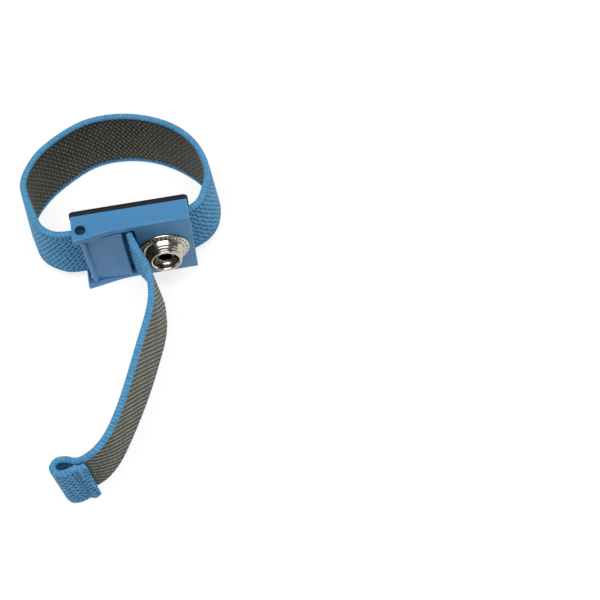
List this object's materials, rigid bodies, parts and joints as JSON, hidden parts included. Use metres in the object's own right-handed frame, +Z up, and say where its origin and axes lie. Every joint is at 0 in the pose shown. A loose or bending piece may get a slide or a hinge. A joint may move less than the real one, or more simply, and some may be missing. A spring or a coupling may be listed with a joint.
{
  "type": "esd wrist strap",
  "caption": "Adjustable elastic anti-static wrist strap with a conductive lining, a cam-lever buckle and a snap stud for a ground cord, its free tail out.",
  "frame": {"origin": "centre of the strap's footprint, on the table", "axes": "+Z up, along the webbing's width; +X along the buckle from the clamp lever to the snap; -Y out of the buckle's front, the way the tail leaves"},
  "size_m": [0.0674, 0.1288, 0.032],
  "materials": {
    "blue_plastic": "satin moulded",
    "black_plastic": "fine matt texture",
    "nickel": "bright nickel plating",
    "blue_webbing": "woven elastic",
    "conductive_lining": "woven with metal fibre, slight sheen",
    "blue_thread": "spun thread"
  },
  "bodies": {
    "buckle": {"housing": "blue_plastic", "back_plate": "black_plastic", "snap_flange": "nickel", "snap_stud": "nickel", "snap_eyelet": "nickel", "eyelet_washer": "nickel", "loop_band": "blue_webbing", "loop_lining": "conductive_lining"},
    "lever": {"clamp_lever": "blue_plastic"},
    "tail_feed": {"feed_band": "blue_webbing", "feed_lining": "conductive_lining"},
    "tail": {"tail_band": "blue_webbing", "tail_lining": "conductive_lining", "tail_tab": "blue_webbing", "tab_stitching": "blue_thread"}
  },
  "joints": [
    {"name": "lever_pivot", "type": "hinge", "parent": "buckle", "child": "lever", "pos_m": [-0.01298, 0.01461, 0.016], "axis": [0, 0, -1], "range_deg": [-4, 78]},
    {"name": "tail_pull", "type": "slide", "parent": "buckle", "child": "tail_feed", "axis": [0, -1, 0], "range_m": [0, 0.012]},
    {"name": "tail_swing", "type": "hinge", "parent": "tail_feed", "child": "tail", "pos_m": [0.00722, -0.00379, 0.0125], "axis": [0, 0, 1], "range_deg": [-25, 20]}
  ]
}
